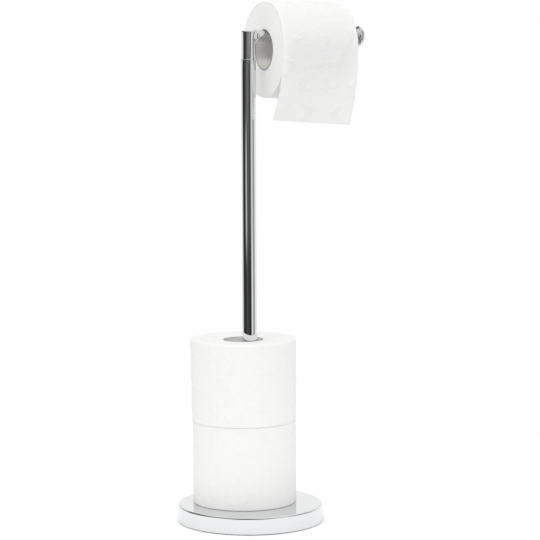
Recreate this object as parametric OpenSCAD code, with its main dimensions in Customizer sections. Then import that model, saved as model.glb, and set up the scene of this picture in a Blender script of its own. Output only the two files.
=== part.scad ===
// Free-standing toilet roll holder with storage for spare rolls.
// A weighted round base carries a pole for the spare rolls. A head that plugs into the pole,
// and swivels in it, has a side arm with an end knob for the roll in use.
// Origin: centre of the underside. +Z is up and the arm points along +X. Sizes in millimetres.

/* [Base] */
// Outer diameter of the pressed base cover
base_d = 158; // [130:1:200]
// Height of the base's flat top above the floor
base_h = 19; // [18:0.5:30]
// Sheet thickness of the base cover
cover_wall = 1.2; // [0.8:0.1:2]
// Outer radius of the cover's top edge
cover_edge_r = 2; // [1:0.1:4]
// Height of the cover's lower rim above the floor
cover_lift = 1; // [0.5:0.1:2]
// Thickness of the foam pad under the base
pad_t = 3; // [2:0.25:4]
// Depth of the recess in the weight that hides the screw head
recess_h = 8; // [8:0.5:10]
// Diameter of that recess
recess_d = 27; // [25:1:40]

/* [Base fastening] */
// Thread diameter of the screw that holds the pole
base_screw_d = 8; // [6:0.5:8]
// Head diameter of that screw
base_screw_head_d = 15; // [13:0.5:18]
// Head height of that screw
base_screw_head_h = 4; // [3:0.25:4]
// Length of the screw above the base's flat top
base_screw_reach = 18; // [12:1:24]
// Outer diameter of the flat washer
washer_d = 24; // [20:1:24]
// Thickness of the flat washer
washer_t = 2; // [1:0.25:2]
// Outer diameter of the spring washer
spring_washer_d = 14; // [13:0.5:16]
// Thickness of the spring washer
spring_washer_t = 1.6; // [1:0.1:1.6]
// Length of the threaded plug in the pole's foot
plug_len = 26; // [25:1:40]

/* [Pole] */
// Outer diameter of the pole
pole_d = 16; // [15.5:0.1:17.4]
// Wall thickness of the pole
pole_wall = 1; // [0.8:0.1:1.2]
// Height of the pole's top end above the floor
pole_top = 500.5; // [440:0.5:600]
// Outer edge radius of the pole's top end
pole_edge_r = 0.6; // [0.3:0.1:0.7]

/* [Head] */
// Outer diameter of the head's short post
post_d = 15; // [14.5:0.1:15.4]
// Wall thickness of the post
post_wall = 1; // [0.8:0.1:1.2]
// Height of the post with its cap, from the pole's top end
post_h = 30.5; // [26:0.5:60]
// Thickness of the post's closing cap
cap_t = 2; // [1.2:0.1:2.4]
// Edge radius of the cap
cap_edge_r = 1.6; // [0.4:0.1:1.8]
// Diameter of the spigot that hangs in the pole
spigot_d = 10; // [8:0.5:11]
// Length of the sleeve round the spigot
sleeve_len = 44; // [30:1:70]
// Width of the sleeve's slit
sleeve_slit = 1.5; // [1:0.1:3]
// Thread diameter of the screw that keeps the sleeve on the spigot
stop_screw_d = 5; // [4:0.5:6]
// Flange diameter of that screw
stop_flange_d = 12.8; // [11.5:0.1:13.2]
// Flange thickness of that screw
stop_flange_t = 1.4; // [1:0.1:2]
// Length of that screw's thread
stop_screw_len = 12; // [8:1:16]

/* [Arm] */
// Outer diameter of the arm
arm_d = 12.5; // [11:0.1:13.5]
// Wall thickness of the arm
arm_wall = 0.8; // [0.6:0.1:1]
// Depth of the arm's axis below the head's top
arm_drop = 6; // [5:0.25:12]
// Distance from the pole's axis to the arm's outer end
arm_reach = 128.5; // [120:0.5:160]
// Outer diameter of the bead on the collar at the arm's root
collar_d = 14.4; // [13.8:0.1:14.6]
// Diameter of the collar's neck, between the post and the bead
collar_neck_d = 13.2; // [13:0.1:13.6]
// Distance from the pole's axis to the collar's outer face
collar_x = 10.4; // [9.5:0.1:14]
// Width of the collar's bead
collar_bead_w = 2.8; // [2:0.1:3.4]
// Thread diameter of the arm's studs
stud_d = 6; // [4:0.5:6]
// Length of the arm's two threaded plugs
arm_plug_len = 15; // [12:1:20]
// Length of a stud inside its plug
stud_grip = 11; // [8:1:12]

/* [End knob] */
// Largest diameter of the knob
knob_d = 23.2; // [20:0.1:23.4]
// Length of the knob's neck
knob_neck_len = 2; // [1:0.25:4]
// Diameter of the knob's neck
knob_neck_d = 13.4; // [13:0.1:14.5]
// Depth of the knob's back, from the neck's line to its widest point
knob_back = 5; // [4:0.25:6]
// Rise of the knob's domed front
knob_dome = 5.5; // [4:0.25:8]
// Depth of the threaded hole in the knob
knob_hole = 7; // [6:0.5:9]

/* [Roll in use] */
// Diameter of the wound tissue
roll_d = 102; // [80:1:110]
// Distance from the pole's axis to the roll's near face
roll_x = 18.5; // [16:0.5:19.5]
// Thickness of the loose outer sheet
sheet_t = 0.4; // [0.4:0.1:1]
// Length of sheet that hangs down in front
tail_len = 81; // [30:1:90]
// Radius of the curl that the hanging sheet keeps
tail_curl_r = 122; // [110:1:400]

/* [Rolls] */
// Length of a roll
roll_len = 90; // [85:0.5:91]
// Bore of a roll's cardboard core
core_bore = 42; // [42:0.1:46]
// Wall thickness of the core
core_wall = 0.9; // [0.6:0.1:1.5]
// Edge radius of the wound tissue
roll_edge_r = 2.5; // [1:0.25:5]

/* [Spare rolls] */
// Diameter of the lower spare roll
lower_d = 112.5; // [90:0.5:125]
// Diameter of the upper spare roll
upper_d = 114.5; // [90:0.5:125]
// Sideways rest place of the lower spare roll from the pole's axis, along X
lower_dx = -1; // [-4:0.5:4]
// Sideways rest place of the lower spare roll from the pole's axis, along Y
lower_dy = 12; // [-11:0.5:12]
// Sideways rest place of the upper spare roll from the pole's axis, along X
upper_dx = -2.5; // [-6:0.5:6]
// Sideways rest place of the upper spare roll from the pole's axis, along Y
upper_dy = 11; // [-11:0.5:11]

/* [Clearances] */
// Radial gap between parts that are pressed or screwed together
seat_gap = 0.05; // [0.02:0.01:0.1]
// Radial running gap of the sleeve in the pole and of the spigot in the sleeve
run_gap = 0.05; // [0.02:0.01:0.1]
// Radial gap round a screw in a plain hole
hole_gap = 0.3; // [0.1:0.1:0.5]
// Gap between the arm and the core that hangs on it
hang_gap = 0.3; // [0.2:0.05:0.5]
// Gap between the wound tissue and its loose outer sheet
sheet_gap = 0.3; // [0.3:0.05:0.6]
// Gap between the core and the wound tissue
core_gap = 0.1; // [0.05:0.05:0.3]
// Gap between the weight and the inside of the cover
weight_gap = 0.5; // [0.3:0.1:1.5]
// End play of the sleeve on the spigot
end_play = 0.3; // [0.2:0.1:0.6]

/* [Hidden] */
$fn = 96;
EPS = 0.01;
CUT = 1;
BASE_R = base_d / 2;
POLE_R = pole_d / 2;
POLE_BORE_R = POLE_R - pole_wall;
POST_R = post_d / 2;
POST_BORE_R = POST_R - post_wall;
HEAD_TOP = pole_top + post_h;
ARM_Z = HEAD_TOP - arm_drop;
ARM_R = arm_d / 2;
ARM_BORE_R = ARM_R - arm_wall;
STUD_R = stud_d / 2;
KNOB_R = knob_d / 2;
KNOB_HOLE_GAP = 0.5;
SPIGOT_R = spigot_d / 2;
SLEEVE_FOOT = pole_top - sleeve_len;
SPIGOT_FOOT = SLEEVE_FOOT - end_play;
CORE_R = core_bore / 2;
CORE_OUT_R = CORE_R + core_wall;
WOUND_R = CORE_OUT_R + core_gap;
ROLL_R = roll_d / 2;
ROLL_Z = ARM_Z + ARM_R + hang_gap - CORE_R;
RECESS_TOP = pad_t + recess_h;
WASHER_Z = RECESS_TOP - washer_t;
SPRING_Z = WASHER_Z - spring_washer_t;
SCREW_HEAD_Z = SPRING_Z - base_screw_head_h;
COVER_UNDER = base_h - cover_wall;
SCREW_HOLE_R = base_screw_d / 2 + hole_gap;
// Sizes of the screws' sockets and of a hexagon head, as shares of thread diameter and head height
SOCKET_SHARE = 0.625;
SOCKET_DEPTH_SHARE = 0.6;
HEX_SHARE = 1.7;
LOWER_Z = base_h;
UPPER_Z = LOWER_Z + roll_len;
WRAP_STEPS = 72;
TAIL_STEPS = 14;
CHROME = "#c9ccd0";
IRON = "#4a4a4c";
STEEL = "#9a9da2";
FOAM = "#2b2b2d";
NYLON = "#e6e4dc";
TISSUE = "#f4f4f2";
SHEET = "#fbfbfa";
CARD = "#a9a49c";

// Points of a circular arc in a profile, from angle a to angle b
function arc(cx, cy, r, a, b, steps = 8) =
    [for (i = [0:steps]) [cx + r * cos(a + (b - a) * i / steps), cy + r * sin(a + (b - a) * i / steps)]];

// Solid cylinder along +X that starts at x
module rod_x(r, x, len) {
    translate([x, 0, ARM_Z]) rotate([0, 90, 0]) cylinder(r = r, h = len);
}

// Plain tube along +Z
module tube_z(r_out, r_in, z, len) {
    translate([0, 0, z]) difference() {
        cylinder(r = r_out, h = len);
        translate([0, 0, -CUT]) cylinder(r = r_in, h = len + 2 * CUT);
    }
}

// Pressed cover: flat top, rounded edge and plain side wall, open underneath
module base_cover() {
    inner_edge_r = max(cover_edge_r - cover_wall, 0.3);
    outer = concat([[0, base_h]], arc(BASE_R - cover_edge_r, base_h - cover_edge_r, cover_edge_r, 90, 0),
        [[BASE_R, cover_lift]]);
    in_r = BASE_R - cover_wall;
    inner = concat([[in_r, cover_lift]],
        arc(in_r - inner_edge_r, COVER_UNDER - inner_edge_r, inner_edge_r, 0, 90), [[0, COVER_UNDER]]);
    color(CHROME) difference() {
        rotate_extrude($fn = 180) polygon(concat(outer, inner));
        translate([0, 0, COVER_UNDER - CUT]) cylinder(r = SCREW_HOLE_R, h = cover_wall + 2 * CUT);
    }
}

// Cast disc that fills the cover, chamfered at its upper edge, with a recess for the screw head
module base_weight() {
    r = BASE_R - cover_wall - weight_gap;
    chamfer = cover_edge_r;
    color(IRON) difference() {
        rotate_extrude($fn = 180) polygon([[0, pad_t], [r, pad_t], [r, COVER_UNDER - chamfer],
            [r - chamfer, COVER_UNDER], [0, COVER_UNDER]]);
        translate([0, 0, pad_t - CUT]) cylinder(d = recess_d, h = recess_h + CUT);
        translate([0, 0, pad_t]) cylinder(r = SCREW_HOLE_R, h = base_h);
    }
}

// Foam disc that the holder stands on
module foot_pad() {
    color(FOAM) cylinder(r = BASE_R - cover_wall - weight_gap, h = pad_t, $fn = 180);
}

// Pan head screw with a hexagon socket, driven from below
module base_screw() {
    socket_af = base_screw_d * SOCKET_SHARE;
    color(STEEL) difference() {
        union() {
            translate([0, 0, SCREW_HEAD_Z]) cylinder(d = base_screw_head_d, h = base_screw_head_h);
            translate([0, 0, SPRING_Z - EPS])
                cylinder(r = base_screw_d / 2 - seat_gap, h = base_h + base_screw_reach - SPRING_Z);
        }
        translate([0, 0, SCREW_HEAD_Z - CUT])
            cylinder(d = socket_af / cos(30), h = base_screw_head_h * SOCKET_DEPTH_SHARE + CUT, $fn = 6);
    }
}

module flat_washer() {
    color(STEEL) tube_z(washer_d / 2, SCREW_HOLE_R, WASHER_Z, washer_t);
}

// Split spring washer, closed flat under the tightened screw
module spring_washer() {
    split_w = 0.8;
    color(STEEL) difference() {
        tube_z(spring_washer_d / 2, base_screw_d / 2 + hole_gap / 2, SPRING_Z, spring_washer_t);
        translate([0, -split_w / 2, SPRING_Z - CUT]) rotate([0, 0, 20])
            cube([spring_washer_d, split_w, spring_washer_t + 2 * CUT]);
    }
}

// Threaded steel plug pressed into the pole's foot
module pole_plug() {
    color(STEEL) tube_z(POLE_BORE_R - seat_gap, base_screw_d / 2, base_h, plug_len);
}

// Pole: a plain tube with a rounded upper end
module pole_tube() {
    profile = concat([[POLE_BORE_R, base_h], [POLE_R, base_h]],
        arc(POLE_R - pole_edge_r, pole_top - pole_edge_r, pole_edge_r, 0, 90), [[POLE_BORE_R, pole_top]]);
    color(CHROME) rotate_extrude() polygon(profile);
}

// Slit nylon sleeve that is a light slide fit in the pole and turns round the spigot
module head_sleeve() {
    color(NYLON) difference() {
        tube_z(POLE_BORE_R - run_gap, SPIGOT_R + run_gap, SLEEVE_FOOT, sleeve_len);
        translate([0, -sleeve_slit / 2, SLEEVE_FOOT - CUT])
            cube([POLE_R, sleeve_slit, sleeve_len + 2 * CUT]);
    }
}

// Turned bar pressed up into the post, cross drilled for the arm's stud, with the spigot below
module head_spigot() {
    top = HEAD_TOP - cap_t;
    color(STEEL) difference() {
        union() {
            translate([0, 0, pole_top]) cylinder(r = POST_BORE_R - seat_gap, h = top - pole_top);
            translate([0, 0, SPIGOT_FOOT]) cylinder(r = SPIGOT_R, h = pole_top - SPIGOT_FOOT + EPS);
        }
        translate([0, 0, SPIGOT_FOOT - CUT]) cylinder(d = stop_screw_d, h = stop_screw_len + 2 * CUT);
        rod_x(STUD_R, -STUD_R - CUT, POST_R + STUD_R + 2 * CUT);
    }
}

// Flanged hexagon screw under the spigot, which keeps the sleeve from dropping off
module sleeve_screw() {
    head_h = 3;
    color(STEEL) {
        translate([0, 0, SPIGOT_FOOT - stop_flange_t]) cylinder(d = stop_flange_d, h = stop_flange_t);
        translate([0, 0, SPIGOT_FOOT - EPS])
            cylinder(r = stop_screw_d / 2 - seat_gap, h = stop_screw_len + EPS);
        translate([0, 0, SPIGOT_FOOT - stop_flange_t - head_h])
            cylinder(d = stop_screw_d * HEX_SHARE, h = head_h + EPS, $fn = 6);
    }
}

// Short upper post, drilled on the arm's side for the stud
module head_post() {
    color(CHROME) difference() {
        tube_z(POST_R, POST_BORE_R, pole_top, post_h - cap_t);
        rod_x(STUD_R + hole_gap, 0, POST_R + CUT);
    }
}

// Flat closing cap with a rounded edge
module head_cap() {
    z = HEAD_TOP - cap_t;
    color(CHROME) rotate_extrude() polygon(concat([[0, z], [POST_R, z]],
        arc(POST_R - cap_edge_r, HEAD_TOP - cap_edge_r, cap_edge_r, 0, 90), [[0, HEAD_TOP]]));
}

// Sleeve at the arm's root with a rounded bead, its inner end cut to the round of the post
module arm_collar() {
    neck_r = collar_neck_d / 2;
    bead_x = collar_x - collar_bead_w / 2;
    bead = [for (i = [0:12]) let (a = 180 * i / 12)
        [neck_r + (collar_d / 2 - neck_r) * sin(a), bead_x - collar_bead_w / 2 * cos(a)]];
    profile = concat([[ARM_R + seat_gap, 0], [neck_r, 0]], bead, [[ARM_R + seat_gap, collar_x]]);
    color(CHROME) difference() {
        translate([0, 0, ARM_Z]) rotate([0, 90, 0]) rotate_extrude() polygon(profile);
        translate([0, 0, pole_top - CUT]) cylinder(r = POST_R + seat_gap, h = post_h + collar_d);
    }
}

// Arm tube, its root cut to the round of the post
module arm_tube() {
    color(CHROME) difference() {
        rod_x(ARM_R, 0, arm_reach);
        rod_x(ARM_BORE_R, -CUT, arm_reach + 2 * CUT);
        translate([0, 0, pole_top - CUT]) cylinder(r = POST_R + seat_gap, h = post_h + arm_d);
    }
}

// Threaded plug pressed into one end of the arm
module arm_plug(x) {
    color(STEEL) difference() {
        rod_x(ARM_BORE_R - seat_gap, x, arm_plug_len);
        rod_x(STUD_R, x - CUT, arm_plug_len + 2 * CUT);
    }
}

module arm_root_plug() {
    arm_plug(POST_R + seat_gap);
}

module arm_root_stud() {
    color(STEEL) rod_x(STUD_R - seat_gap, -STUD_R, STUD_R + POST_R + stud_grip);
}

module arm_end_plug() {
    arm_plug(arm_reach - arm_plug_len);
}

module knob_stud() {
    color(STEEL) rod_x(STUD_R - seat_gap, arm_reach - stud_grip, stud_grip + knob_hole - KNOB_HOLE_GAP);
}

// Knob like a flattened ball: an elliptical back and a domed front, each as deep as its own value
module end_knob() {
    neck_r = knob_neck_d / 2;
    back_depth = (knob_back - knob_neck_len) / sqrt(1 - pow(neck_r / KNOB_R, 2));
    start = acos(neck_r / KNOB_R);
    back = [for (i = [0:10]) let (a = start * (1 - i / 10)) [KNOB_R * cos(a), knob_back - back_depth * sin(a)]];
    dome = [for (i = [1:16]) let (a = 90 * i / 16) [KNOB_R * cos(a), knob_back + knob_dome * sin(a)]];
    color(CHROME) difference() {
        translate([arm_reach, 0, ARM_Z]) rotate([0, 90, 0]) rotate_extrude()
            polygon(concat([[0, 0], [neck_r, 0]], back, dome));
        rod_x(STUD_R, arm_reach - CUT, knob_hole + CUT);
    }
}

// Wound tissue: a ring with softly rounded outer edges, standing on z = 0
module tissue_ring(r) {
    lip = roll_edge_r / 3;
    profile = concat([[WOUND_R, lip], [WOUND_R + lip, 0]],
        arc(r - roll_edge_r, roll_edge_r, roll_edge_r, -90, 0),
        arc(r - roll_edge_r, roll_len - roll_edge_r, roll_edge_r, 0, 90),
        [[WOUND_R + lip, roll_len], [WOUND_R, roll_len - lip]]);
    rotate_extrude($fn = 128) polygon(profile);
}

// Cardboard core, standing on z = 0
module core_ring() {
    difference() {
        cylinder(r = CORE_OUT_R, h = roll_len);
        translate([0, 0, -CUT]) cylinder(r = CORE_R, h = roll_len + 2 * CUT);
    }
}

// Places a standing ring on the arm, hanging by its core
module on_arm() {
    translate([roll_x, 0, ROLL_Z]) rotate([0, 90, 0]) children();
}

// The loose outer turn starts under the hanging sheet at the front, runs under the roll, up its
// back and over its top, and leaves it at the front to hang down along an arc that curls back.
// A point of its middle line, as (Y, Z) from the roll's axis
WRAP_R0 = ROLL_R + sheet_gap + sheet_t / 2;
WRAP_RISE = sheet_t + sheet_gap;
function wrap_point(i) = let (turn = i / WRAP_STEPS, a = 180 + 360 * turn, r = WRAP_R0 + WRAP_RISE * turn)
    [r * cos(a), r * sin(a)];
function tail_point(i) = let (a = tail_len / tail_curl_r * 180 / PI * i / TAIL_STEPS)
    [-WRAP_R0 - WRAP_RISE + tail_curl_r * (1 - cos(a)), -tail_curl_r * sin(a)];
SHEET_LINE = concat([for (i = [0:WRAP_STEPS]) wrap_point(i)], [for (i = [1:TAIL_STEPS]) tail_point(i)]);
function line_normal(i) = let (
        a = SHEET_LINE[max(i - 1, 0)],
        b = SHEET_LINE[min(i + 1, len(SHEET_LINE) - 1)],
        d = (b - a) / norm(b - a))
    [d[1], -d[0]];

module loose_sheet() {
    n = len(SHEET_LINE) - 1;
    half = sheet_t / 2;
    outer = [for (i = [0:n]) SHEET_LINE[i] + half * line_normal(i)];
    inner = [for (i = [n:-1:0]) SHEET_LINE[i] - half * line_normal(i)];
    color(SHEET) translate([roll_x, 0, ROLL_Z]) rotate([90, 0, 90]) linear_extrude(roll_len)
        polygon(concat(outer, inner));
}

module roll_tissue() {
    color(TISSUE) on_arm() tissue_ring(ROLL_R);
}

module roll_core() {
    color(CARD) on_arm() core_ring();
}

module lower_tissue() {
    color(TISSUE) translate([lower_dx, lower_dy, LOWER_Z]) tissue_ring(lower_d / 2);
}

module lower_core() {
    color(CARD) translate([lower_dx, lower_dy, LOWER_Z]) core_ring();
}

module upper_tissue() {
    color(TISSUE) translate([upper_dx, upper_dy, UPPER_Z]) tissue_ring(upper_d / 2);
}

module upper_core() {
    color(CARD) translate([upper_dx, upper_dy, UPPER_Z]) core_ring();
}

base_cover();
base_weight();
foot_pad();
base_screw();
flat_washer();
spring_washer();
pole_plug();
pole_tube();
head_sleeve();
head_spigot();
sleeve_screw();
head_post();
head_cap();
arm_collar();
arm_tube();
arm_root_plug();
arm_root_stud();
arm_end_plug();
knob_stud();
end_knob();
loose_sheet();
roll_tissue();
roll_core();
lower_tissue();
lower_core();
upper_tissue();
upper_core();
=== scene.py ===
"""Looks of a free-standing toilet roll holder, built around its CAD frame.

The base cover, pole, head, arm and knob, and the weight, screws, plugs and sleeve inside them,
are the frame's own solids with new finishes. The rolls, their cores, the loose outer sheet and
the foam pad are surfaces worked out here. All sizes are metres. +Z is up and the arm points
along +X.
"""
import math

import bmesh
import bpy
import numpy as np
from mathutils import Matrix, Vector


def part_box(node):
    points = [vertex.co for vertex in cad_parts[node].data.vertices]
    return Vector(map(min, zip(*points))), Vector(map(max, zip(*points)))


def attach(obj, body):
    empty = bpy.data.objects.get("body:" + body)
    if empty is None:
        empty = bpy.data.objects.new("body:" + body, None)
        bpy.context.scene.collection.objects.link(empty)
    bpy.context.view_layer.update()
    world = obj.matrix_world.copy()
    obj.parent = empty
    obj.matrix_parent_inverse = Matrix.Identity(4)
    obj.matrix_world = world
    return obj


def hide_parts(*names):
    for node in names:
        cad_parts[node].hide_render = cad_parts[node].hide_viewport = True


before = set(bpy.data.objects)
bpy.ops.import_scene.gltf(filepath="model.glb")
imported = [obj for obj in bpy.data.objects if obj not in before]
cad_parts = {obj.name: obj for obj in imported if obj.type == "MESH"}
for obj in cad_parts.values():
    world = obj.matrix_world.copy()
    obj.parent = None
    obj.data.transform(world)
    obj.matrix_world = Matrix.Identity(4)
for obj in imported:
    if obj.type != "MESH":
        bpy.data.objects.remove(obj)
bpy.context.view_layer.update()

MM = 0.001
TURN = 2 * math.pi

# Camera, fitted to the photograph's outlines
CAMERA_AZIMUTH = math.radians(-26.175)
CAMERA_ELEVATION = math.radians(5.867)
CAMERA_ROLL = math.radians(-0.215)
CAMERA_PLACE = (-0.96613, -2.01629, 0.5037)
CAMERA_LENS = 138.7

# Soft light from above and from below the horizon, where 1 is white, and how far from the
# horizon, in radians, one gives way to the other
SKY = 0.885
SKY_BELOW = 0.695
SKY_BLEND = 0.1
# Soft square lamps: place, size and power
LAMPS = (((-0.75, -1.45, 1.75), 0.35, 8.3), ((-0.4, -0.2, 1.39), 0.25, 0.85))
LAMP_AIM = (0.03, 0.0, 0.4)
# The floor, and its own light as the camera and mirrors see it and as it falls on the object
FLOOR_RADIUS = 0.6
FLOOR_LIFT = 0.15
FLOOR_BOUNCE = 0.06

# What polished metal mirrors: brightness of the studio by angle from the camera's side, in
# degrees to the right. The first row is below the horizon, where dark cards stand left and in
# front, and a white one at the right.
FLOOR_BANDS = (
    (-180, 1.0), (-130, 1.0), (-120, 0.97), (-112, 0.69), (-105, 0.4), (-97, 0.19), (-90, 0.06),
    (-82, 0.03), (-45, 0.04), (-30, 0.09), (-15, 0.05), (0, 0.06), (15, 0.02), (22, 0.01),
    (28, 0.1), (34, 0.35), (42, 0.85), (52, 0.97), (60, 0.72), (68, 0.41), (75, 0.27),
    (83, 0.36), (90, 0.55), (97, 0.8), (105, 1.0), (180, 1.0),
)
# The same higher up, where one more white card stands at the left
STUDIO_BANDS = (
    (-180, 1.0), (-130, 1.0), (-120, 0.88), (-112, 0.68), (-105, 0.42), (-97, 0.19), (-90, 0.04),
    (-82, 0.0), (-67, 0.04), (-60, 0.08), (-52, 0.26), (-44, 0.62), (-37, 0.68), (-30, 0.41),
    (-23, 0.08), (-15, 0.02), (-5, 0.15), (2, 0.15), (15, 0.0), (22, 0.05), (30, 0.3),
    (37, 0.62), (45, 0.85), (52, 0.82), (60, 0.58), (68, 0.36), (77, 0.28), (83, 0.4),
    (90, 0.6), (97, 0.82), (105, 1.0), (180, 1.0),
)
# The same near the horizon, where that white card has faded
UPPER_BANDS = (
    (-180, 1.0), (-130, 1.0), (-120, 0.88), (-112, 0.68), (-105, 0.42), (-97, 0.19), (-90, 0.04),
    (-82, 0.0), (-67, 0.04), (-60, 0.05), (-52, 0.06), (-44, 0.09), (-37, 0.14), (-30, 0.18),
    (-15, 0.17), (2, 0.15), (15, 0.03), (22, 0.05), (30, 0.3), (37, 0.62), (45, 0.88),
    (52, 0.85), (60, 0.62), (68, 0.36), (77, 0.28), (83, 0.4), (90, 0.6), (97, 0.82),
    (105, 1.0), (180, 1.0),
)
# The same from just under the horizon up, as the head shows it: a slit of light between the
# cards in front, and a narrower white card at the right
HEAD_BANDS = (
    (-180, 1.0), (-130, 1.0), (-105, 0.88), (-97, 0.68), (-90, 0.37), (-82, 0.1), (-75, 0.04),
    (-38, 0.04), (-30, 0.13), (-22, 0.19), (-15, 0.24), (0, 0.24), (8, 0.27), (15, 0.37),
    (22, 0.37), (30, 0.19), (37, 0.1), (45, 0.26), (52, 0.59), (60, 0.94), (67, 1.0), (75, 0.94),
    (82, 0.58), (90, 0.31), (97, 0.6), (105, 1.0), (180, 1.0),
)
# The same well above the horizon, where a dark wall stands in front and at the sides
WALL_BANDS = (
    (-180, 1.0), (-155, 0.9), (-125, 0.1), (0, 0.08), (20, 0.5), (38, 0.25), (62, 0.75),
    (90, 0.35), (115, 0.5), (150, 1.0), (180, 1.0),
)
# From where to where one row of bands gives way to the next, in degrees above the horizon
CARD_FOOT = (-6.0, -4.5)
CARD_FADE = (-3.0, -1.3)
HORIZON = (-0.09, -0.05)
WALL_FOOT = (3.0, 8.0)
WALL_TOP = (38.0, 62.0)

# Point spacing of the soft surfaces
PAPER_STEP = 0.95 * MM
FACE_STEP = 0.75 * MM
BORE_STEP = 6 * MM
COVERED_STEP = 3 * MM
SHEET_STEP = 0.92 * MM
CORE_STEP = 0.9 * MM
CORE_COLUMNS = 192
# How near a point lies to an outline's side or end to count as on it
NEAR = 0.1 * MM

# Wound tissue
EDGE_ROUND = 2.4 * MM
LIFTED_EDGE_ROUND = 1.6 * MM
PRESSED_EDGE_ROUND = 1.0 * MM
COVERED_EDGE_ROUND = 0.6 * MM
BORE_BEVEL = 0.8 * MM
DENT_DEPTH = 0.35 * MM
PLY_PITCH = 0.9 * MM
PLY_RELIEF = 0.13 * MM

# Sprigs pressed into the paper. Real embossing is about 0.3 mm high in 0.6 mm lines; it is drawn
# coarser so that it shows
EMBOSS_HEIGHT = 0.9 * MM
EMBOSS_LINE = 1.15 * MM
SPRIG_SPACING = 27 * MM
ROSETTE_SIZE = 3.6 * MM
LEAF_SIZE = 4.2 * MM
LEAF_REACH = 9.2 * MM
LEAF_TURN = 0.9

# Cores: the frame's wall, how much tighter and thinner the board is drawn, the gap to the
# tissue, and the spiral strip's width and groove
FRAME_CORE_WALL = 0.9 * MM
CORE_SHRINK = 0.15 * MM
CORE_WALL = 0.5 * MM
CORE_GAP = 0.1 * MM
STRIP_WIDTH = 62 * MM
GROOVE_DEPTH = 0.22 * MM
GROOVE_WIDTH = 0.7 * MM
CUT_ROUGHNESS = 0.12 * MM

# Roll in use, from the frame's: the wound tissue lies a little inside its radius and the loose
# turn starts a little outside it and grows by its rise. Both are shorter than the frame's roll,
# and the far end is squeezed narrower
roll_low, roll_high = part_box("roll_tissue")
ROLL_LENGTH = roll_high[0] - roll_low[0]
ROLL_DIAMETER = roll_high[2] - roll_low[2]
WOUND_RADIUS = ROLL_DIAMETER / 2 - 0.3 * MM
WRAP_RADIUS = ROLL_DIAMETER / 2 + 0.2 * MM
WRAP_RISE = 1.0 * MM
WRAP_LENGTH = TURN * (WRAP_RADIUS + WRAP_RISE / 2)
ROLL_SHORTER = 1.4 * MM
WRAP_WIDTH = ROLL_LENGTH - ROLL_SHORTER
FAR_SHOULDER = 2.1 * MM
FAR_SHOULDER_WIDTH = 16 * MM

# Loose sheet. Its edges are tucked in on the roll and let go before the turn's end, and it
# follows the squeezed far end until it hangs. Ends and fades are shares of the turn
SHEET_THICKNESS = 0.4 * MM
EDGE_TUCK = 0.5 * MM
EDGE_TUCK_WIDTH = 1.6 * MM
TUCK_END = 0.83
TUCK_FADE = 0.08
SHOULDER_END = 1.08
SHOULDER_FADE = 0.24
# Its hanging end: length, the share by which the left edge is shorter, and how strongly each
# edge curls back, per metre
TAIL_LENGTH = 82.7 * MM
TAIL_SHORT_LEFT = 0.015
TAIL_CURL_LEFT = 4.4
TAIL_CURL_RIGHT = 2.5
# Its way sideways: a shift, a skew that starts before the end hangs, a random drift with this
# many places along the sheet, and a wave in the left edge
SHEET_SHIFT = 0.3 * MM
SHEET_SKEW = 0.025
SHEET_SKEW_LEAD = 50 * MM
SHEET_DRIFT = 0.15 * MM
DRIFT_PLACES = 14
EDGE_WAVE = 0.8 * MM
EDGE_WAVE_DROP = 27 * MM
EDGE_WAVE_LENGTH = 12 * MM

# Foam pad
PAD_EDGE_ROUND = 0.5 * MM
PAD_MIDDLE = 2 * MM
PAD_RINGS = 20
PAD_COLUMNS = 180


def srgb(code):
    """Linear colour of an sRGB hex value."""
    parts = [int(code[i:i + 2], 16) / 255 for i in (0, 2, 4)]
    return [p / 12.92 if p <= 0.04045 else ((p + 0.055) / 1.055) ** 2.4 for p in parts] + [1.0]


def add(tree, kind, inputs=None, stops=None, **settings):
    """Adds one shader node. Each input is a plain value or the socket that feeds it."""
    made = tree.nodes.new("ShaderNode" + kind)
    for name, value in settings.items():
        setattr(made, name, value)
    for name, value in (inputs or {}).items():
        if isinstance(value, bpy.types.NodeSocket):
            tree.links.new(value, made.inputs[name])
        else:
            made.inputs[name].default_value = value
    if stops:
        ramp = made.color_ramp.elements
        while len(ramp) < len(stops):
            ramp.new(0.5)
        for element, (place, level) in zip(ramp, stops):
            element.position = place
            element.color = (level, level, level, 1.0)
    return made


def new_material(name, values):
    """A node material with its Principled shader, set to plain values, and the Object
    coordinates."""
    material = bpy.data.materials.new(name)
    material.use_nodes = True
    tree = material.node_tree
    tree.nodes.clear()
    surface = add(tree, "BsdfPrincipled", values)
    add(tree, "OutputMaterial", {"Surface": surface.outputs["BSDF"]})
    place = add(tree, "TexCoord").outputs["Object"]
    return material, tree, surface, place


def set_colour(tree, surface, colour, tone):
    """Gives the surface a colour, multiplied by a tone round 1."""
    tint = add(tree, "Mix", {0: 1.0, 6: colour, 7: tone}, data_type="RGBA", blend_type="MULTIPLY")
    tree.links.new(tint.outputs[2], surface.inputs["Base Color"])


def set_relief(tree, surface, height, strength, distance):
    """Gives the surface a fine relief that is too small for the mesh."""
    bump = add(tree, "Bump", {"Height": height, "Strength": strength, "Distance": distance})
    tree.links.new(bump.outputs["Normal"], surface.inputs["Normal"])


# Materials


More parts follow.
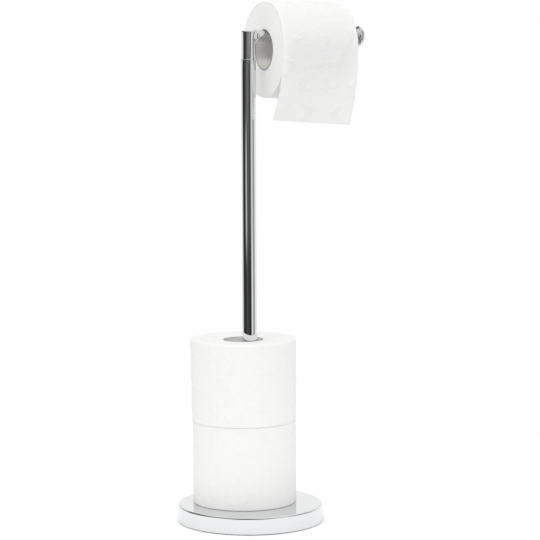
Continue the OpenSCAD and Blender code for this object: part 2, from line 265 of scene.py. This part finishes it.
def chrome_plate():
    """Bright chrome plated and buffed steel tube and sheet. The eye sees clean mirror images that
    soften a little where wiping has left a haze, and fine buffing lines."""
    material, tree, surface, place = new_material("bright_chrome_plate", {
        "Base Color": srgb("E2E3E4"), "Metallic": 1.0})
    haze = add(tree, "TexNoise", {"Vector": place, "Scale": 1 / (14 * MM), "Detail": 3.0})
    # Real buffing lines are about 0.02 mm apart; these are drawn 0.6 mm apart so that they show
    squeezed = add(tree, "Mapping", {"Vector": place, "Scale": (1.0, 1.0, 0.08)})
    lines = add(tree, "TexNoise", {"Vector": squeezed.outputs["Vector"], "Scale": 1 / (0.6 * MM)})
    both = add(tree, "Math", {0: haze.outputs["Fac"], 1: lines.outputs["Fac"]}, operation="MULTIPLY")
    gloss = add(tree, "MapRange", {"Value": both.outputs[0], "From Min": 0.1, "From Max": 0.45,
                                   "To Min": 0.02, "To Max": 0.06})
    tree.links.new(gloss.outputs["Result"], surface.inputs["Roughness"])
    set_relief(tree, surface, lines.outputs["Fac"], 0.02, 0.02 * MM)
    return material


def creped_tissue(name, stretch, light_through=0.0):
    """Bleached two-ply tissue, creped and soft. The eye sees a dull white without any gloss,
    fine crepe ridges along the roll's axis, a cloudy fibre pattern and a little lint. A single
    sheet lets light through."""
    material, tree, surface, place = new_material(name, {
        "Roughness": 0.95, "Specular IOR Level": 0.15, "Sheen Weight": 0.05, "Sheen Roughness": 0.6,
        "Subsurface Weight": light_through, "Subsurface Radius": (1.0, 1.0, 1.0),
        "Subsurface Scale": 1.5 * MM})
    # Crepe ridges are about 0.4 mm apart; these are drawn 1.1 mm apart so that they show
    along = add(tree, "Mapping", {"Vector": place, "Scale": stretch})
    crepe = add(tree, "TexNoise", {"Vector": along.outputs["Vector"], "Scale": 1 / (1.1 * MM),
                                   "Detail": 2.0, "Roughness": 0.6})
    cloud = add(tree, "TexNoise", {"Vector": place, "Scale": 1 / (5 * MM), "Detail": 4.0,
                                   "Roughness": 0.65})
    tone = add(tree, "MapRange", {"Value": cloud.outputs["Fac"], "From Min": 0.3, "From Max": 0.7,
                                  "To Min": 0.975, "To Max": 1.0})
    set_colour(tree, surface, srgb("F7F7F6"), tone.outputs["Result"])
    relief = add(tree, "Math", {0: crepe.outputs["Fac"], 1: 0.6, 2: cloud.outputs["Fac"]},
                 operation="MULTIPLY_ADD")
    set_relief(tree, surface, relief.outputs[0], 0.35, 0.25 * MM)
    return material


def lined_board():
    """Spirally wound recycled board with a bleached lining. The eye sees a flat off-white with
    darker fibres and flecks, without gloss, and the grey of the board's middle at its cut ends."""
    material, tree, surface, place = new_material("spiral_wound_lined_board", {
        "Roughness": 0.85, "Specular IOR Level": 0.3})
    cut = add(tree, "Attribute", attribute_name="cut_end").outputs["Fac"]
    ply = add(tree, "Mix", {0: cut, 6: srgb("F3F2EE"), 7: srgb("8F8B83")}, data_type="RGBA")
    fibre = add(tree, "TexNoise", {"Vector": place, "Scale": 1 / (1.6 * MM), "Detail": 6.0,
                                   "Roughness": 0.7})
    fleck = add(tree, "TexVoronoi", {"Vector": place, "Scale": 1 / (3.5 * MM)})
    speck = add(tree, "MapRange", {"Value": fleck.outputs["Distance"], "From Min": 0.06,
                                   "From Max": 0.14, "To Min": 0.72, "To Max": 1.0})
    tone = add(tree, "MapRange", {"Value": fibre.outputs["Fac"], "From Min": 0.3, "From Max": 0.7,
                                  "To Min": 0.82, "To Max": 1.05})
    shade = add(tree, "Math", {0: speck.outputs["Result"], 1: tone.outputs["Result"]},
                operation="MULTIPLY")
    set_colour(tree, surface, ply.outputs[2], shade.outputs[0])
    set_relief(tree, surface, fibre.outputs["Fac"], 0.4, 0.12 * MM)
    return material


def closed_cell_foam():
    """Die-cut closed-cell EVA foam. The eye sees a dull near-black with open cut cells."""
    material, tree, surface, place = new_material("closed_cell_foam", {"Roughness": 0.9})
    # Cells are about 0.3 mm; they are drawn 1.2 mm wide so that they show
    cells = add(tree, "TexVoronoi", {"Vector": place, "Scale": 1 / (1.2 * MM)})
    tone = add(tree, "MapRange", {"Value": cells.outputs["Distance"], "From Min": 0.0,
                                  "From Max": 0.6, "To Min": 0.7, "To Max": 1.25})
    set_colour(tree, surface, srgb("2B2B2D"), tone.outputs["Result"])
    set_relief(tree, surface, cells.outputs["Distance"], 0.7, 0.3 * MM)
    return material


def zinc_plated_steel():
    """Turned steel with clear zinc plate. The eye sees a satin grey with turning lines and
    faintly cloudy passivation."""
    material, tree, surface, place = new_material("zinc_plated_turned_steel", {"Metallic": 1.0})
    cloud = add(tree, "TexNoise", {"Vector": place, "Scale": 1 / (4 * MM), "Detail": 3.0})
    # Turning lines are about 0.1 mm apart; they are drawn 0.5 mm apart so that they show
    squeezed = add(tree, "Mapping", {"Vector": place, "Scale": (0.1, 0.1, 1.0)})
    lines = add(tree, "TexNoise", {"Vector": squeezed.outputs["Vector"], "Scale": 1 / (0.5 * MM)})
    tone = add(tree, "MapRange", {"Value": cloud.outputs["Fac"], "From Min": 0.3, "From Max": 0.7,
                                  "To Min": 0.88, "To Max": 1.0})
    set_colour(tree, surface, srgb("C4C7CB"), tone.outputs["Result"])
    gloss = add(tree, "MapRange", {"Value": lines.outputs["Fac"], "From Min": 0.3, "From Max": 0.7,
                                   "To Min": 0.24, "To Max": 0.38})
    tree.links.new(gloss.outputs["Result"], surface.inputs["Roughness"])
    set_relief(tree, surface, lines.outputs["Fac"], 0.25, 0.05 * MM)
    return material


def natural_nylon():
    """Injection moulded natural nylon. The eye sees a milky off-white with a waxy sheen and a
    fine spark-eroded mould grain."""
    material, tree, surface, place = new_material("moulded_natural_nylon", {
        "Roughness": 0.42, "IOR": 1.53})
    grain = add(tree, "TexNoise", {"Vector": place, "Scale": 1 / (0.4 * MM), "Detail": 2.0})
    cloud = add(tree, "TexNoise", {"Vector": place, "Scale": 1 / (6 * MM)})
    tone = add(tree, "MapRange", {"Value": cloud.outputs["Fac"], "From Min": 0.3, "From Max": 0.7,
                                  "To Min": 0.95, "To Max": 1.0})
    set_colour(tree, surface, srgb("E8E5DB"), tone.outputs["Result"])
    set_relief(tree, surface, grain.outputs["Fac"], 0.2, 0.05 * MM)
    return material


def painted_cast_iron():
    """Sand cast grey iron, dipped in black paint. The eye sees a dark dull skin with the sand's
    grain and a few rubbed grey spots."""
    material, tree, surface, place = new_material("painted_cast_iron", {"Roughness": 0.6})
    sand = add(tree, "TexNoise", {"Vector": place, "Scale": 1 / (0.9 * MM), "Detail": 5.0})
    worn = add(tree, "TexNoise", {"Vector": place, "Scale": 1 / (9 * MM), "Detail": 4.0})
    share = add(tree, "MapRange", {"Value": worn.outputs["Fac"], "From Min": 0.62, "From Max": 0.68,
                                   "To Min": 0.0, "To Max": 0.6})
    tint = add(tree, "Mix", {0: share.outputs["Result"], 6: srgb("2E2E30"), 7: srgb("5A5A5C")},
               data_type="RGBA")
    tree.links.new(tint.outputs[2], surface.inputs["Base Color"])
    set_relief(tree, surface, sand.outputs["Fac"], 0.6, 0.3 * MM)
    return material


# Mesh tools


def grid_faces(rows, columns, wrap_rows, wrap_columns):
    """Four-sided faces that join each point of a grid to its next neighbours."""
    i = np.arange(rows if wrap_rows else rows - 1)
    j = np.arange(columns if wrap_columns else columns - 1)
    a, b = np.meshgrid(i, j, indexing="ij")
    c, d = (a + 1) % rows, (b + 1) % columns
    corners = [a * columns + b, c * columns + b, c * columns + d, a * columns + d]
    return np.stack(corners, axis=-1).reshape(-1, 4)


def outward(points, faces):
    """The faces, turned round if the closed surface's signed volume is negative."""
    p = points[faces]
    first = np.einsum("ij,ij->i", p[:, 0], np.cross(p[:, 1], p[:, 2]))
    second = np.einsum("ij,ij->i", p[:, 0], np.cross(p[:, 2], p[:, 3]))
    return faces if (first + second).sum() > 0 else faces[:, ::-1]


def add_surface(name, points, material, wrap=(True, True), closed=True, merge=False):
    """A smooth mesh object from a grid of points, shaped (rows, columns, 3)."""
    faces = grid_faces(points.shape[0], points.shape[1], *wrap)
    flat = points.reshape(-1, 3)
    if closed:
        faces = outward(flat, faces)
    mesh = bpy.data.meshes.new(name)
    mesh.from_pydata(flat, [], faces)
    if merge:
        shell = bmesh.new()
        shell.from_mesh(mesh)
        bmesh.ops.remove_doubles(shell, verts=shell.verts, dist=1e-7)
        shell.to_mesh(mesh)
        shell.free()
    mesh.shade_smooth()
    mesh.materials.append(material)
    made = bpy.data.objects.new(name, mesh)
    bpy.context.scene.collection.objects.link(made)
    return made


def finish_piece(piece, body, slot, *nodes):
    """Says what a new piece rides on and hides the solids that it stands for. slot is not used."""
    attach(piece, body)
    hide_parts(*nodes)


def arc(centre, radius, start, end, steps):
    """Points of a circular arc in a profile. Angles are in degrees."""
    angle = np.radians(np.linspace(start, end, steps))
    return np.stack([centre[0] + radius * np.cos(angle), centre[1] + radius * np.sin(angle)], -1)


def spread(profile, step):
    """The closed profile with points added, evenly, wherever two are more than a step apart."""
    parts = []
    for start, end in zip(profile, np.roll(profile, -1, axis=0)):
        count = max(1, int(round(np.linalg.norm(end - start) / step)))
        share = np.arange(count)[:, None] / count
        parts.append(start + share * (end - start))
    return np.concatenate(parts)


def profile_normals(profile):
    """Unit normals of a closed profile, to the right of its running direction."""
    along = np.roll(profile, -1, axis=0) - np.roll(profile, 1, axis=0)
    along /= np.linalg.norm(along, axis=1)[:, None]
    return np.stack([along[:, 1], -along[:, 0]], -1)


def smooth_noise(rng, count, turns):
    """A closed wavy line, from -1 to 1, made of a few random whole waves round a turn."""
    angle = np.linspace(0, TURN, count, endpoint=False)
    total = np.zeros(count)
    for wave in range(1, turns + 1):
        total += rng.uniform(0.4, 1.0) / wave * np.sin(wave * angle + rng.uniform(0, TURN))
    return total / np.abs(total).max()


# Paper


def rosette(along, across, size, turn):
    """Height of a rosette's outline: a raised line where the distance from the middle is the
    size, swollen six times round, and a dot in the middle."""
    far = np.hypot(along, across)
    petal = size * (1 + 0.22 * np.cos(6 * (np.arctan2(across, along) + turn)))
    outline = np.exp(-((far - petal) / EMBOSS_LINE) ** 2)
    return np.maximum(outline, np.exp(-(far / (1.6 * EMBOSS_LINE)) ** 2))


def leaf(along, across, size, turn):
    """Height of a leaf's outline: two shallow arcs that meet in points, with a middle rib."""
    u = along * math.cos(turn) + across * math.sin(turn)
    v = across * math.cos(turn) - along * math.sin(turn)
    belly = 0.42 * size * np.clip(1 - (u / size) ** 2, 0, None)
    inside = np.abs(u) < size
    side = np.exp(-((np.abs(v) - belly) / EMBOSS_LINE) ** 2)
    rib = 0.6 * np.exp(-(v / EMBOSS_LINE) ** 2) * (np.abs(u) < 0.7 * size)
    return np.where(inside, np.maximum(side, rib), 0.0)


def emboss(along, across, length, width, seed, wrap):
    """Height, from 0 to 1, of sprigs pressed into the paper at staggered places: each is a
    rosette with two leaves beside it. along and across are distances on the sheet, and wrap joins
    its two ends along its length."""
    rng = np.random.default_rng(seed)
    height = np.zeros(np.broadcast(along, across).shape)
    columns = max(1, round(length / SPRIG_SPACING))
    rows = max(1, round(width / SPRIG_SPACING))
    for column in range(columns):
        for row in range(rows):
            offset = 0.5 * (column % 2)
            u = along - (column + 0.5 + rng.uniform(-0.12, 0.12)) * length / columns
            if wrap:
                u = (u + length / 2) % length - length / 2
            v = across - (row + 0.25 + offset + rng.uniform(-0.1, 0.1)) * width / rows
            turn = rng.uniform(0, TURN)
            strength = rng.uniform(0.55, 1.0)
            sprig = rosette(u, v, ROSETTE_SIZE, turn)
            for side in (-1, 1):
                lean = turn + side * LEAF_TURN
                one_leaf = leaf(u - LEAF_REACH * math.cos(lean), v - LEAF_REACH * math.sin(lean),
                                LEAF_SIZE, lean)
                sprig = np.maximum(sprig, one_leaf)
            height = np.maximum(height, strength * sprig)
    return height


def ply_edges(radius, angle, seed):
    """Relief, from -1 to 1, of the wound plies' edges: random steps along one long spiral, so
    that each turn stands a little proud of or behind the next. Fine steps within a turn are
    added to coarse ones that span two turns."""
    rng = np.random.default_rng(seed)
    count = 400
    knots = rng.uniform(-1, 1, count)
    place = radius / PLY_PITCH + angle / TURN
    fine = np.interp(place * 3, np.arange(count), knots)
    coarse = np.interp(place * 0.45 + 150, np.arange(count), knots)
    return 0.55 * fine + 0.45 * coarse


def roll_profile(bore, radius, length, edges):
    """Closed outline of a wound ring as (radius, height): up its outer side, in over the top
    face, down its bore and out under the foot face. edges are the roundings of its outer edges
    at the foot and at the top."""
    foot, top = edges
    return np.concatenate([
        arc((radius - foot, foot), foot, -90, 0, 7),
        arc((radius - top, length - top), top, 0, 90, 7),
        [(bore + BORE_BEVEL, length), (bore, length - BORE_BEVEL),
         (bore, BORE_BEVEL), (bore + BORE_BEVEL, 0.0)],
    ])


def wound_ring(bore, radius, length, edges, seed, side_step, embossed, taper=0.0, dish=0.0):
    """Radius, height and angle arrays of a wound roll. Its outline is carried round and pushed
    along its normal: by the plies' edges on the faces, and by soft dents and the embossing on
    the side. side_step is the point spacing up the side, taper narrows its foot and dish sinks
    its top towards the bore."""
    rng = np.random.default_rng(seed)
    profile = spread(roll_profile(bore, radius, length, edges), FACE_STEP)
    on_side = profile[:, 0] > radius - NEAR
    in_bore = profile[:, 0] < bore + NEAR
    step = np.where(on_side, side_step, np.where(in_bore, BORE_STEP, FACE_STEP))
    every = np.maximum(1, np.round(step / FACE_STEP)).astype(int)
    profile = profile[np.arange(len(profile)) % every == 0]
    normal = profile_normals(profile)
    columns = int(TURN * radius / PAPER_STEP)
    angle = np.linspace(0, TURN, columns, endpoint=False)[:, None]
    r, h = profile[None, :, 0], profile[None, :, 1]
    facing_side = np.clip(normal[None, :, 0], 0, 1) ** 2
    facing_end = np.abs(normal[None, :, 1]) ** 2 * (r > bore + 0.5 * MM)
    level = h / length
    dents = smooth_noise(rng, columns, 5)[:, None] * (0.25 + 0.2 * np.cos(5 * level))
    relief = facing_side * DENT_DEPTH * dents
    if embossed:
        relief += facing_side * EMBOSS_HEIGHT * embossed * emboss(
            angle * radius, h, TURN * radius, length, seed, True)
    relief += facing_end * PLY_RELIEF * ply_edges(r, angle * np.sign(normal[None, :, 1]), seed)
    share = np.clip((r - bore) / (radius - bore), 0, 1)
    out = r + normal[None, :, 0] * relief - taper * share * (1 - level)
    up = h + normal[None, :, 1] * relief - dish * (1 - share) * level
    return out, up, angle


def standing(out, up, angle, centre, foot):
    """Points of a ring that stands upright at a centre on the floor plan."""
    return np.stack([centre[0] + out * np.cos(angle), centre[1] + out * np.sin(angle), foot + up], -1)


def lying(out, up, angle, start, middle):
    """Points of a ring whose axis runs along +X from start, at height middle."""
    return np.stack([start + up, out * np.cos(angle), middle + out * np.sin(angle)], -1)


def middle_of(node):
    """Centre and size of a frame node's box."""
    low, high = (np.array(corner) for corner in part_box(node))
    return (low + high) / 2, high - low


def core_ring(bore, wall, length, seed):
    """Radius, height and angle arrays of a core: a plain tube whose inner face has the shallow
    groove where the spiral strip's edges meet, and whose cut ends are slightly furry."""
    rng = np.random.default_rng(seed)
    corners = np.array([(bore + wall, 0.0), (bore + wall, length), (bore, length), (bore, 0.0)])
    profile = spread(corners, CORE_STEP)
    angle = np.linspace(0, TURN, CORE_COLUMNS, endpoint=False)[:, None]
    r, h = profile[None, :, 0], profile[None, :, 1]
    off = (h - angle / TURN * STRIP_WIDTH + STRIP_WIDTH / 2) % STRIP_WIDTH - STRIP_WIDTH / 2
    groove = GROOVE_DEPTH * np.exp(-(off / GROOVE_WIDTH) ** 2)
    out = np.where(r < bore + NEAR, r + groove, r) + 0 * angle
    ragged = CUT_ROUGHNESS * rng.uniform(-1, 1, (CORE_COLUMNS, 1))
    at_end = (h > length - 0.01 * MM) | (h < 0.01 * MM)
    up = np.where(at_end, np.clip(h + ragged, 0.0, length), h)
    return out, up, angle, at_end


def add_core(name, ring_points, at_end, card):
    """A core's surface, with its cut ends marked for the board's finish."""
    core = add_surface(name, ring_points, card)
    marks = np.broadcast_to(at_end, ring_points.shape[:2]).astype(np.float32).ravel()
    core.data.attributes.new("cut_end", "FLOAT", "POINT").data.foreach_set("value", marks)
    return core


def board_radius(core_diameter):
    """Outer radius of a core as it is drawn, from the outer diameter of the frame's core."""
    return core_diameter / 2 - FRAME_CORE_WALL - CORE_SHRINK + CORE_WALL


def spare_roll(which, seed, edges, lean, taper, dish, embossed, paper, card):
    """A standing spare roll: its wound tissue and its core. lean shifts its foot sideways, by a
    share that falls with height and grows from the middle outwards."""
    centre, size = middle_of(which + "_tissue")
    foot = centre[2] - size[2] / 2
    core_radius = board_radius(middle_of(which + "_core")[1][0])
    ring = wound_ring(core_radius + CORE_GAP, size[0] / 2, size[2], edges, seed, PAPER_STEP,
                      embossed, taper, dish)
    points = standing(*ring, centre, foot)
    sideways = (1 - (points[..., 2] - foot) / size[2])[..., None] * np.array(lean)
    reach = np.hypot(points[..., 0] - centre[0], points[..., 1] - centre[1])
    points[..., :2] += sideways * np.clip(reach / (size[0] / 2), 0, 1)[..., None] ** 2
    tissue = add_surface(which + "_wound_tissue", points, paper)
    finish_piece(tissue, which + "_roll", "tissue", which + "_tissue")
    *ring, at_end = core_ring(core_radius - CORE_WALL, CORE_WALL, size[2] - dish, seed)
    core = add_core(which + "_board_core", standing(*ring, centre, foot), at_end, card)
    finish_piece(core, which + "_roll", "card_core", which + "_core")


def far_shoulder(from_end):
    """How much narrower the hanging roll is near its far end, where handling has squeezed it: a
    bell curve of the distance from that end."""
    return FAR_SHOULDER * np.exp(-(from_end / FAR_SHOULDER_WIDTH) ** 2)


def roll_in_use(paper, card):
    """The roll that hangs on the arm: its wound tissue and its core."""
    centre, size = middle_of("roll_tissue")
    start = centre[0] - size[0] / 2
    core_radius = board_radius(middle_of("roll_core")[1][2])
    edges = (COVERED_EDGE_ROUND, COVERED_EDGE_ROUND)
    out, up, angle = wound_ring(core_radius + CORE_GAP, WOUND_RADIUS, WRAP_WIDTH, edges, 3,
                                COVERED_STEP, 0.0)
    squeezed = (out - core_radius) / (WOUND_RADIUS - core_radius)
    out = out - far_shoulder(WRAP_WIDTH - up) * squeezed
    tissue = add_surface("hanging_wound_tissue", lying(out, up, angle, start, centre[2]), paper)
    finish_piece(tissue, "roll", "tissue", "roll_tissue")
    *ring, at_end = core_ring(core_radius - CORE_WALL, CORE_WALL, WRAP_WIDTH, 5)
    core = add_core("hanging_board_core", lying(*ring, start, centre[2]), at_end, card)
    finish_piece(core, "roll", "card_core", "roll_core")


def sheet_line(distance, across):
    """Place of a point of the loose sheet in the plane of the roll's end, from the roll's axis.
    The sheet makes one turn from the front, under the roll, up its back and over its top, its
    radius growing evenly. Its two edges hug the wound roll until they near the front, and it
    follows the roll's narrower far end until it hangs. It then curls back by the square of the
    way down, more at its left edge (across 0) than at its right (across 1)."""
    turn = np.clip(distance / WRAP_LENGTH, 0, 1)
    angle = math.pi + TURN * turn
    near_edge = np.exp(-(across * WRAP_WIDTH / EDGE_TUCK_WIDTH) ** 2)
    far_edge = np.exp(-((1 - across) * WRAP_WIDTH / EDGE_TUCK_WIDTH) ** 2)
    hugging = np.clip((TUCK_END - turn) / TUCK_FADE, 0, 1)
    tuck = (near_edge + far_edge) * hugging * (WRAP_RISE * turn + EDGE_TUCK)
    following = np.clip((SHOULDER_END - distance / WRAP_LENGTH) / SHOULDER_FADE, 0, 1)
    shoulder = far_shoulder((1 - across) * WRAP_WIDTH) * following ** 2 * (3 - 2 * following)
    radius = WRAP_RADIUS + WRAP_RISE * turn - shoulder - tuck
    fall = np.clip(distance - WRAP_LENGTH, 0, None) * (1 - TAIL_SHORT_LEFT * (1 - across))
    curl = TAIL_CURL_LEFT + (TAIL_CURL_RIGHT - TAIL_CURL_LEFT) * across
    down = fall - (2 * curl * fall) ** 2 * fall / 6
    y = radius * np.cos(angle) + curl * down ** 2
    z = radius * np.sin(angle) - down
    return y, z


def loose_sheet(paper):
    """The loose outer turn of the roll in use, and the end that hangs down: its line in the
    plane of the roll's end is carried along the roll, pushed along its normal by the embossing
    and moved sideways by the drift, the skew and the wave."""
    low, high = (np.array(corner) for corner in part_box("loose_sheet"))
    middle = middle_of("roll_tissue")[0][2]
    length = WRAP_LENGTH + TAIL_LENGTH
    width = high[0] - low[0] - ROLL_SHORTER
    along = np.linspace(0, length, int(length / SHEET_STEP))[:, None]
    share = np.linspace(0, 1, int(width / SHEET_STEP))[None, :]
    y, z = sheet_line(along, share)
    step_y, step_z = np.gradient(y, axis=0), np.gradient(z, axis=0)
    size = np.hypot(step_y, step_z)
    out_y, out_z = step_z / size, -step_y / size
    pressed = EMBOSS_HEIGHT * emboss(along, share * width, length, width, 11, False)
    y, z = y + out_y * pressed, z + out_z * pressed
    rng = np.random.default_rng(7)
    places = np.linspace(0, length, DRIFT_PLACES)
    drift = np.interp(along, places, SHEET_DRIFT * rng.uniform(-1, 1, DRIFT_PLACES))
    hanging = along - WRAP_LENGTH
    skew = SHEET_SKEW * np.clip(hanging + SHEET_SKEW_LEAD, 0, None)
    bell = np.exp(-((hanging - EDGE_WAVE_DROP) / EDGE_WAVE_LENGTH) ** 2)
    wave = EDGE_WAVE * bell * (1 - share) ** 4
    x = low[0] + share * width + drift - SHEET_SHIFT - skew - wave
    points = np.stack([x + 0 * y, y, middle + z], -1)
    sheet = add_surface("loose_outer_sheet", points, paper, wrap=(False, False), closed=False)
    wall = sheet.modifiers.new("thickness", "SOLIDIFY")
    wall.thickness = SHEET_THICKNESS
    wall.offset = 0.0
    finish_piece(sheet, "sheet", "tissue_sheet", "loose_sheet")


def foot_pad(foam):
    """The die-cut foam disc under the base: a flat disc with slightly crushed edges."""
    centre, size = middle_of("foot_pad")
    radius, thickness = size[0] / 2, size[2]
    edge = PAD_EDGE_ROUND
    profile = np.concatenate([
        [(0.0, 0.0)],
        np.linspace((PAD_MIDDLE, 0.0), (radius - 2 * edge, 0.0), PAD_RINGS),
        arc((radius - edge, edge), edge, -90, 0, 5),
        arc((radius - edge, thickness - edge), edge, 0, 90, 5),
        np.linspace((radius - 2 * edge, thickness), (PAD_MIDDLE, thickness), PAD_RINGS),
        [(0.0, thickness)],
    ])
    angle = np.linspace(0, TURN, PAD_COLUMNS, endpoint=False)[:, None]
    points = standing(profile[None, :, 0], profile[None, :, 1] + 0 * angle, angle, centre, 0.0)
    pad = add_surface("foam_foot_pad", points, foam, wrap=(True, False), merge=True)
    finish_piece(pad, "stand", "foam_pad", "foot_pad")


# Stage


def add_camera():
    """The camera at the photograph's place, turned by azimuth, elevation and roll."""
    data = bpy.data.cameras.new("camera")
    data.lens = CAMERA_LENS
    camera = bpy.data.objects.new("camera", data)
    turned = (Matrix.Rotation(CAMERA_AZIMUTH, 4, "Z")
              @ Matrix.Rotation(math.pi / 2 - CAMERA_ELEVATION, 4, "X")
              @ Matrix.Rotation(CAMERA_ROLL, 4, "Z"))
    camera.matrix_world = Matrix.Translation(CAMERA_PLACE) @ turned
    bpy.context.scene.collection.objects.link(camera)
    bpy.context.scene.camera = camera


def band_stops(bands):
    """Brightness by degrees, as stops of a ramp from 0 to 1."""
    return [((degrees + 180) / 360, level) for degrees, level in bands]


def mirror_ray(tree, path):
    """1 for a ray that left a mirror or went through glass, else 0."""
    return add(tree, "Math", {0: path.outputs["Is Glossy Ray"], 1: path.outputs["Is Transmission Ray"]},
               operation="MAXIMUM").outputs[0]


def mirrored_studio(tree, parts, height):
    """Brightness of the studio in mirrors: rows of bands by the angle from the camera's side,
    one above the other, which give way to the next by height and to white at the top."""
    heading = add(tree, "Math", {0: parts.outputs["Y"], 1: parts.outputs["X"]}, operation="ARCTAN2")
    camera_side = CAMERA_AZIMUTH - math.pi / 2
    turned = add(tree, "Math", {0: heading.outputs[0], 1: camera_side}, operation="SUBTRACT")
    wrapped = add(tree, "Math", {0: turned.outputs[0], 1: math.pi, 2: -math.pi}, operation="WRAP")
    share = add(tree, "MapRange", {"Value": wrapped.outputs[0], "From Min": -math.pi,
                                   "From Max": math.pi})
    mirrored = None
    for bands, reach in ((FLOOR_BANDS, None), (STUDIO_BANDS, CARD_FOOT), (UPPER_BANDS, CARD_FADE),
                         (HEAD_BANDS, HORIZON), (WALL_BANDS, WALL_FOOT), (None, WALL_TOP)):
        level = 1.0
        if bands:
            level = add(tree, "ValToRGB", {"Fac": share.outputs["Result"]},
                        stops=band_stops(bands)).outputs["Color"]
        if reach:
            low, high = (math.radians(degrees) for degrees in reach)
            level = add(tree, "MapRange", {
                "Value": height, "From Min": low, "From Max": high, "To Min": mirrored,
                "To Max": level}, interpolation_type="SMOOTHSTEP").outputs["Result"]
        mirrored = level
    return mirrored


def add_world():
    """The studio: white to the camera, bands of cards and wall in mirrors that the camera sees
    directly, and soft even light, weaker from below the horizon, on everything else."""
    world = bpy.data.worlds.new("studio")
    bpy.context.scene.world = world
    world.use_nodes = True
    tree = world.node_tree
    tree.nodes.clear()
    direction = add(tree, "TexCoord").outputs["Generated"]
    parts = add(tree, "SeparateXYZ", {"Vector": direction})
    height = add(tree, "Math", {0: parts.outputs["Z"]}, operation="ARCSINE").outputs[0]
    mirrored = mirrored_studio(tree, parts, height)
    soft = add(tree, "MapRange", {"Value": height, "From Min": -SKY_BLEND, "From Max": SKY_BLEND,
                                  "To Min": SKY_BELOW, "To Max": SKY})
    path = add(tree, "LightPath")
    direct = add(tree, "Math", {0: path.outputs["Diffuse Depth"], 1: 0.5}, operation="LESS_THAN")
    sharp = add(tree, "Math", {0: mirror_ray(tree, path), 1: direct.outputs[0]},
                operation="MULTIPLY")
    not_camera = add(tree, "MapRange", {
        "Value": sharp.outputs[0], "To Min": soft.outputs["Result"], "To Max": mirrored})
    strength = add(tree, "MapRange", {
        "Value": path.outputs["Is Camera Ray"], "To Min": not_camera.outputs["Result"], "To Max": 1.0})
    light = add(tree, "Background", {"Color": (1, 1, 1, 1), "Strength": strength.outputs["Result"]})
    add(tree, "OutputWorld", {"Surface": light.outputs["Background"]})


def add_floor():
    """A white matt disc. A little light of its own brings it up to the white background and
    leaves the contact shadow. What stands on it gets less of that light than the camera."""
    angle = np.linspace(0, TURN, 96, endpoint=False)
    points = np.stack([FLOOR_RADIUS * np.cos(angle), FLOOR_RADIUS * np.sin(angle), 0 * angle], -1)
    mesh = bpy.data.meshes.new("floor")
    mesh.from_pydata(points, [], [list(range(len(points)))])
    floor = bpy.data.objects.new("floor", mesh)
    bpy.context.scene.collection.objects.link(floor)
    material = bpy.data.materials.new("matt_white_floor")
    material.use_nodes = True
    tree = material.node_tree
    tree.nodes.clear()
    path = add(tree, "LightPath")
    seen = add(tree, "Math", {0: path.outputs["Is Camera Ray"], 1: mirror_ray(tree, path)},
               operation="MAXIMUM")
    lift = add(tree, "MapRange", {
        "Value": seen.outputs[0], "To Min": FLOOR_BOUNCE, "To Max": FLOOR_LIFT})
    glow = add(tree, "Emission", {"Strength": lift.outputs["Result"]})
    matt = add(tree, "BsdfDiffuse", {"Color": srgb("F8F8F8")})
    both = add(tree, "AddShader", {0: matt.outputs["BSDF"], 1: glow.outputs["Emission"]})
    add(tree, "OutputMaterial", {"Surface": both.outputs["Shader"]})
    mesh.materials.append(material)


def add_lamps():
    """Soft square lamps, aimed at the object, which mirrors don't show."""
    for place, size, power in LAMPS:
        data = bpy.data.lights.new("soft_lamp", "AREA")
        data.size = size
        data.energy = power
        lamp = bpy.data.objects.new("soft_lamp", data)
        lamp.location = place
        lamp.rotation_mode = "QUATERNION"
        lamp.rotation_quaternion = (Vector(place) - Vector(LAMP_AIM)).to_track_quat("Z", "Y")
        lamp.visible_glossy = False
        lamp.visible_camera = False
        bpy.context.scene.collection.objects.link(lamp)


bpy.context.scene.view_settings.view_transform = "Standard"
add_camera()
add_world()
add_floor()
add_lamps()

chrome = chrome_plate()
steel = zinc_plated_steel()
standing_paper = creped_tissue("creped_tissue_standing", (1.0, 1.0, 0.25))
lying_paper = creped_tissue("creped_tissue_lying", (0.25, 1.0, 1.0))
sheet_paper = creped_tissue("creped_tissue_single_sheet", (0.25, 1.0, 1.0), 0.35)
board = lined_board()
frame_finishes = (
    (chrome, ("base_cover", "pole_tube", "head_post", "head_cap", "arm_collar", "arm_tube",
              "end_knob")),
    (steel, ("base_screw", "flat_washer", "spring_washer", "pole_plug", "head_spigot",
             "sleeve_screw", "arm_root_plug", "arm_root_stud", "arm_end_plug", "knob_stud")),
    (natural_nylon(), ("head_sleeve",)),
    (painted_cast_iron(), ("base_weight",)),
)
for finish, nodes in frame_finishes:
    for node in nodes:
        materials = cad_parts[node].data.materials
        materials.clear()
        materials.append(finish)

foot_pad(closed_cell_foam())
spare_roll("lower", seed=21, edges=(PRESSED_EDGE_ROUND, PRESSED_EDGE_ROUND), lean=(0.0, 0.0),
           taper=0.0, dish=0.3 * MM, embossed=0.4, paper=standing_paper, card=board)
spare_roll("upper", seed=22, edges=(LIFTED_EDGE_ROUND, EDGE_ROUND), lean=(0.36 * MM, -0.18 * MM),
           taper=0.7 * MM, dish=1.5 * MM, embossed=0.6, paper=standing_paper, card=board)
roll_in_use(lying_paper, board)
loose_sheet(sheet_paper)
